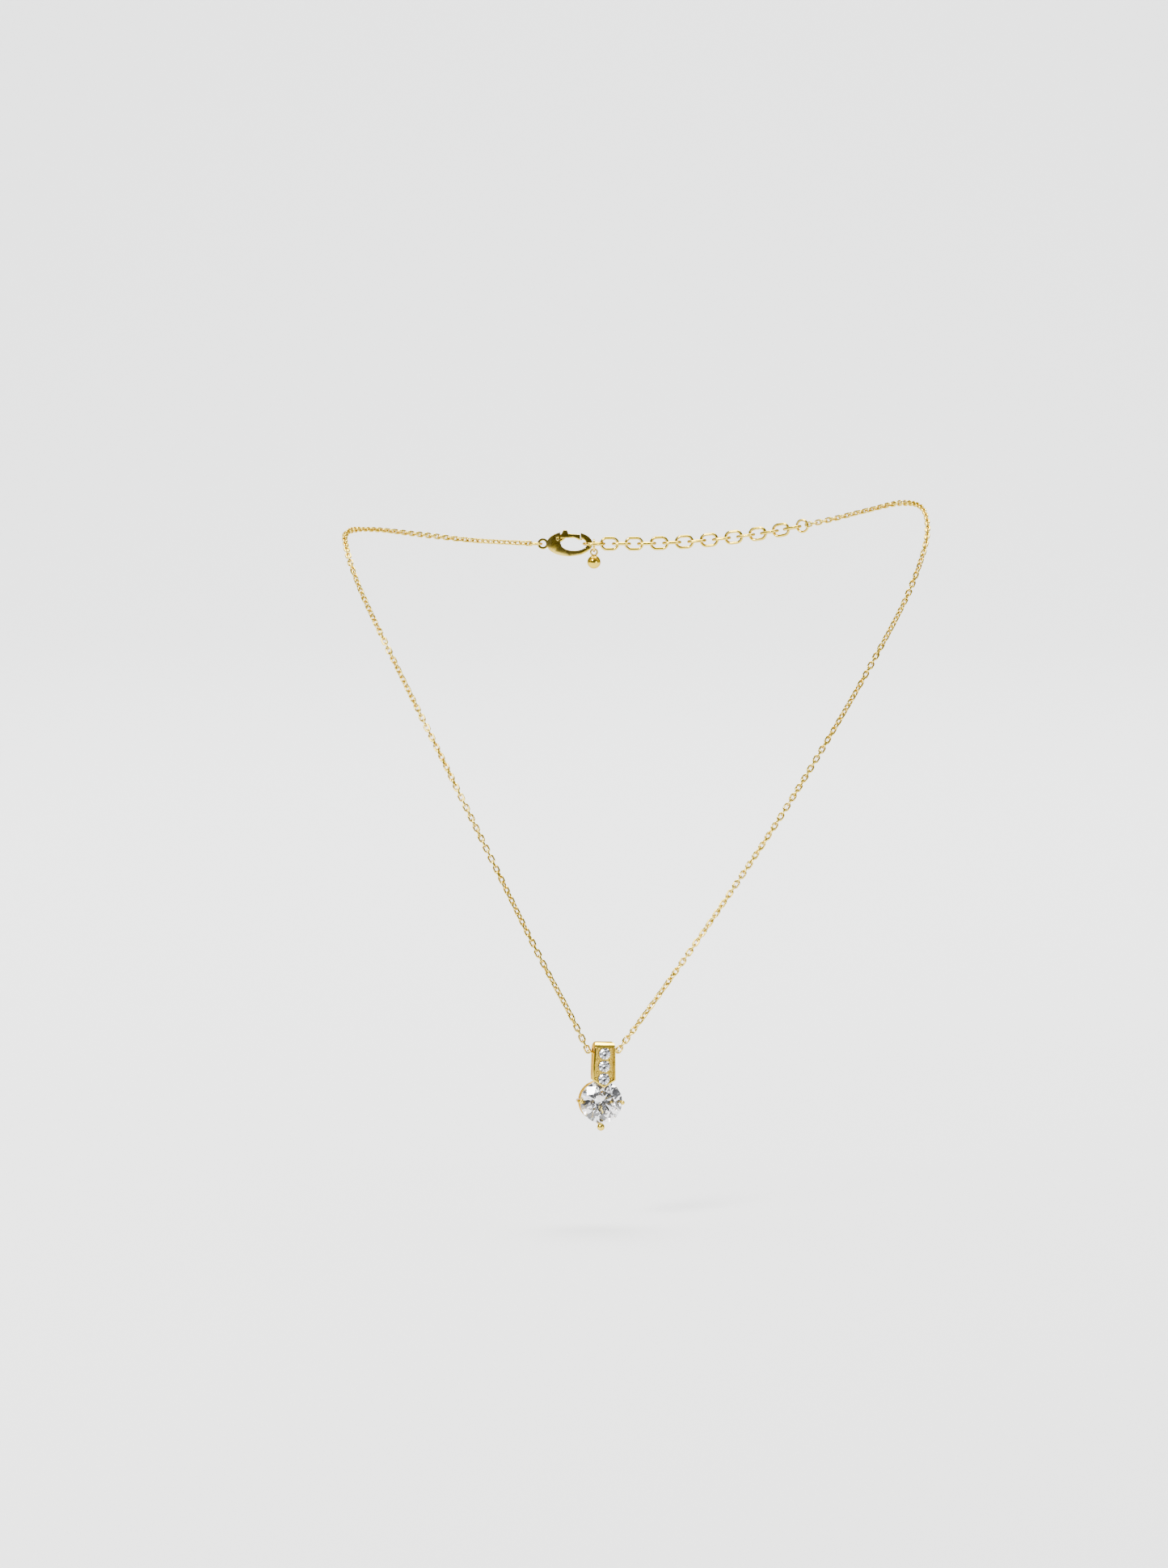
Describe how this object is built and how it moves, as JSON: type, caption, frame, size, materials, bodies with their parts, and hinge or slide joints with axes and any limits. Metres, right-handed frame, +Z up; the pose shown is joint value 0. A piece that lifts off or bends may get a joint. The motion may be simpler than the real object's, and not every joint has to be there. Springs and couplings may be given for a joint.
{
  "type": "pendant necklace",
  "caption": "Fine cable-chain necklace in its worn shape, with a round-stone pendant on a stone-set shield bail, a lobster clasp and an extender.",
  "frame": {"origin": "the middle of the neck that holds the necklace up, level with where the chain lies on the left shoulder (mount neck_rest)", "axes": "+Z up, -Y the way the wearer faces, +X to the right as seen from the front"},
  "size_m": [0.1281, 0.1107, 0.1294],
  "materials": {
    "gold": "polished pale gold plate",
    "channel_gold": "bright-cut yellow gold plate",
    "crystal": "polished facets",
    "spring_steel": "drawn wire"
  },
  "bodies": {
    "necklace": {"chain_left": "gold", "chain_right": "gold", "bail_link_1": "gold", "bail_link_2": "gold", "bail_link_4": "gold", "bail_link_5": "gold", "end_ring_left": "gold", "catch_ring": "gold", "end_ring_right": "gold", "extender_link_01": "gold", "extender_link_02": "gold", "extender_link_03": "gold", "extender_link_04": "gold", "extender_link_05": "gold", "extender_link_06": "gold", "extender_link_07": "gold", "extender_link_08": "gold", "extender_link_09": "gold", "extender_link_10": "gold", "extender_link_11": "gold", "extender_link_12": "gold", "extender_link_13": "gold", "extender_link_14": "gold", "extender_link_15": "gold", "extender_link_16": "gold"},
    "bail_link": {"bail_link_3": "gold"},
    "pendant": {"bail_shield": "channel_gold", "bail_strap": "gold", "accent_stone_top": "crystal", "accent_stone_middle": "crystal", "accent_stone_bottom": "crystal", "main_stone": "crystal", "seat_ring": "gold", "base_ring": "gold", "prong_bottom": "gold", "prong_right": "gold", "prong_left": "gold", "bail_post": "gold"},
    "clasp": {"clasp_body": "gold", "clasp_rivet": "gold", "clasp_spring": "spring_steel"},
    "lever": {"clasp_lever": "gold"},
    "drop_ring": {"drop_ring": "gold"},
    "drop": {"end_drop": "gold"}
  },
  "joints": [
    {"name": "pendant_turn", "type": "hinge", "parent": "necklace", "child": "bail_link", "pos_m": [-0.0078, -0.05, -0.104], "axis": [0, 0, 1], "range_deg": [-16, 2], "stiffness_Nm_per_rad": 0.00002},
    {"name": "pendant_swing", "type": "hinge", "parent": "bail_link", "child": "pendant", "pos_m": [-0.0078, -0.05, -0.104], "axis": [-0.9877, -0.1564, 0], "range_deg": [-8, 80]},
    {"name": "clasp_swivel", "type": "hinge", "parent": "necklace", "child": "clasp", "pos_m": [-0.02105, 0.0535, -0.002], "axis": [1, 0, 0], "range_deg": [-12, 12]},
    {"name": "clasp_lever_open", "type": "hinge", "parent": "clasp", "child": "lever", "pos_m": [-0.01775, 0.0535, -0.001], "axis": [0, 1, 0], "range_deg": [0, 20], "stiffness_Nm_per_rad": 0.001, "springref_deg": -17.19, "deforming": ["clasp_spring"]},
    {"name": "drop_ring_swing", "type": "hinge", "parent": "necklace", "child": "drop_ring", "pos_m": [-0.00955, 0.05575, -0.002], "axis": [1, 0, 0], "range_deg": [-10, 75]},
    {"name": "drop_swing", "type": "hinge", "parent": "drop_ring", "child": "drop", "pos_m": [-0.00955, 0.05575, -0.0038], "axis": [0, 1, 0], "range_deg": [-60, 60]}
  ]
}
